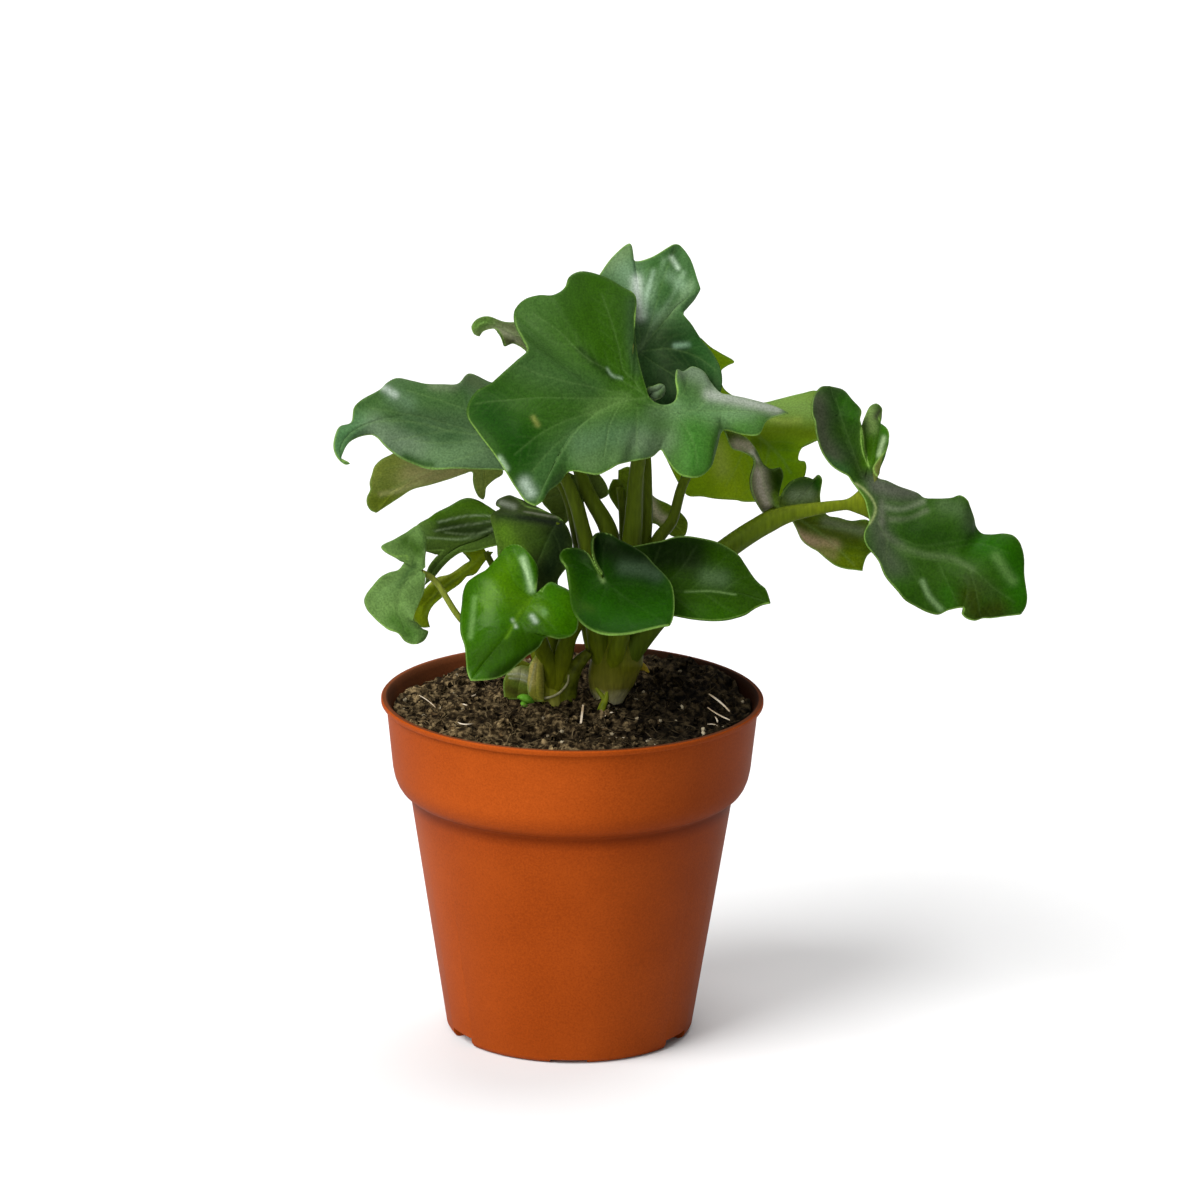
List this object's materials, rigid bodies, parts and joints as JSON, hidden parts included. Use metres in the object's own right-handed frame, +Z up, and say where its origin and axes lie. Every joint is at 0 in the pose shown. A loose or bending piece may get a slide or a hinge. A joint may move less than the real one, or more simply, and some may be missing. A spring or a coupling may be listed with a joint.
{
  "type": "potted philodendron",
  "caption": "Potted atom philodendron: wavy, lobed glossy leaves on curved stalks, in a round tapered nursery pot with a collar, filled with potting mix.",
  "frame": {"origin": "on the ground, under the middle of the pot", "axes": "+Z up along the pot's axis, +X to the plant's right as it is seen from the front, -Y towards the front"},
  "size_m": [0.1886, 0.105, 0.2176],
  "materials": {
    "pot": "satin moulded, terracotta orange",
    "potting_mix": "coarse, fibrous, dry on top",
    "crown": "satin",
    "leaf": "waxy, glossy",
    "young_leaf": "waxy, glossy",
    "stalk": "satin",
    "sheath": "dry, papery"
  },
  "bodies": {
    "root": {"bud": "young_leaf", "crown_main": "crown", "crown_side": "crown", "leaf_back_dark": "leaf", "leaf_back_left": "leaf", "leaf_back_low": "leaf", "leaf_back_right": "leaf", "leaf_back_top": "leaf", "leaf_front_centre": "leaf", "leaf_front_left": "young_leaf", "leaf_front_right": "leaf", "leaf_left_under": "leaf", "leaf_left_upper": "leaf", "leaf_low_back": "leaf", "leaf_low_left": "leaf", "leaf_main": "leaf", "leaf_mid_left": "leaf", "leaf_middle": "leaf", "leaf_right": "leaf", "leaf_right_inner": "leaf", "pot": "pot", "potting_mix": "potting_mix", "root_bare": "sheath", "scale": "sheath", "sheath_tall": "sheath", "sheath_wide": "sheath", "shoot_curved": "stalk", "shoot_front": "young_leaf", "stalk_back_dark": "stalk", "stalk_back_left": "stalk", "stalk_back_low": "stalk", "stalk_back_right": "stalk", "stalk_back_top": "stalk", "stalk_front_centre": "stalk", "stalk_front_left": "stalk", "stalk_front_right": "stalk", "stalk_left_under": "stalk", "stalk_left_upper": "stalk", "stalk_low_back": "stalk", "stalk_low_left": "stalk", "stalk_main": "stalk", "stalk_mid_left": "stalk", "stalk_middle": "stalk", "stalk_right": "stalk", "stalk_right_inner": "stalk"}
  },
  "joints": []
}
